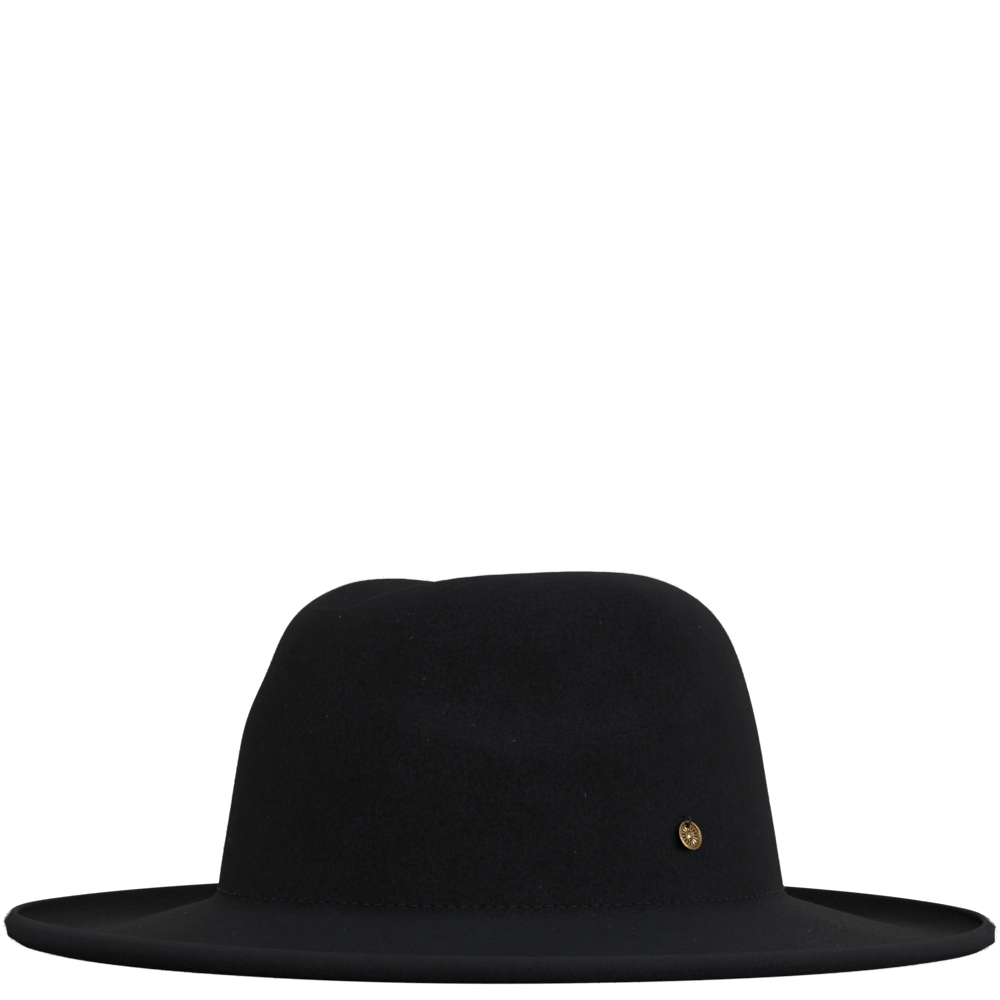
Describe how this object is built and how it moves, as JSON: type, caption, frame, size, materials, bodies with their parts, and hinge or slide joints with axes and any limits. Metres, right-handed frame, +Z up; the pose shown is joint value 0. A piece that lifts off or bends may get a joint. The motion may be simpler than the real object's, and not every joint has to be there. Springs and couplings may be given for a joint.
{
  "type": "fedora",
  "caption": "Wide-brimmed felt hat worn on the head: dented crown pinched at the front, brim curled up at its edge, ribbon sweatband inside and a small round metal badge sewn to its side.",
  "frame": {"origin": "on the resting plane, under the middle of the brim's bounding box", "axes": "+Z up from the resting plane, -Y towards the front of the hat, +X towards the wearer's left"},
  "size_m": [0.3183, 0.3515, 0.1283],
  "materials": {
    "felt": "black wool felt, soft and matt with a short nap",
    "ribbon": "black grosgrain ribbon, fine crosswise ribs",
    "badge_metal": "polished pale gold plating with a satin field",
    "thread": "black twisted polyester sewing thread"
  },
  "bodies": {
    "root": {"felt_body": "felt", "sweatband": "ribbon", "badge": "badge_metal", "badge_thread": "thread"}
  },
  "joints": []
}
